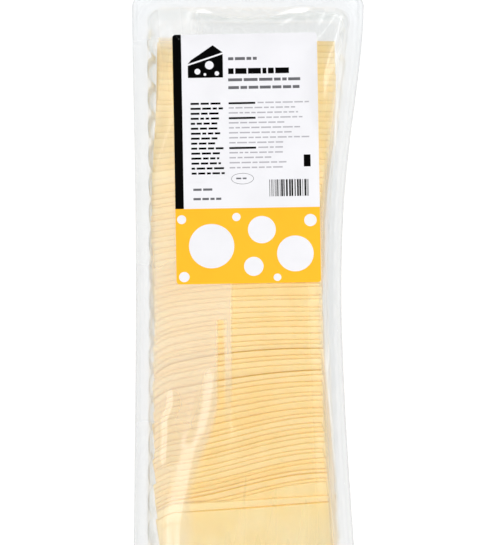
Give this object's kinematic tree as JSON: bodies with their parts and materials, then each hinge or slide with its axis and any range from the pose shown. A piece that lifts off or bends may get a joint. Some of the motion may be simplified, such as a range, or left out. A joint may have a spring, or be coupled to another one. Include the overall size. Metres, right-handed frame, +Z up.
{
  "type": "pack of sliced cheese",
  "caption": "Long clear fluted tray of thin pale yellow cheese slices laid in a shingled row, sealed with clear film that carries a plain two-tone label.",
  "frame": {"origin": "on the floor under the middle of the pack", "axes": "+Z up; +Y along the pack, towards the end where the first slice lies and the label is read upright; +X to the label's right, the side that is drawn in most"},
  "size_m": [0.1329, 0.386, 0.0451],
  "materials": {
    "clear_tray": "clear thermoformed plastic, smooth and glossy",
    "cheese": "pale yellow semi-hard cheese, soft satin cut faces",
    "clear_film": "clear lidding film, glossy with soft wrinkles",
    "label_paper": "smooth coated white label with a yellow-orange lower panel"
  },
  "bodies": {
    "root": {"tray": "clear_tray", "cheese_slices": "cheese", "top_film": "clear_film", "label": "label_paper"}
  },
  "joints": []
}
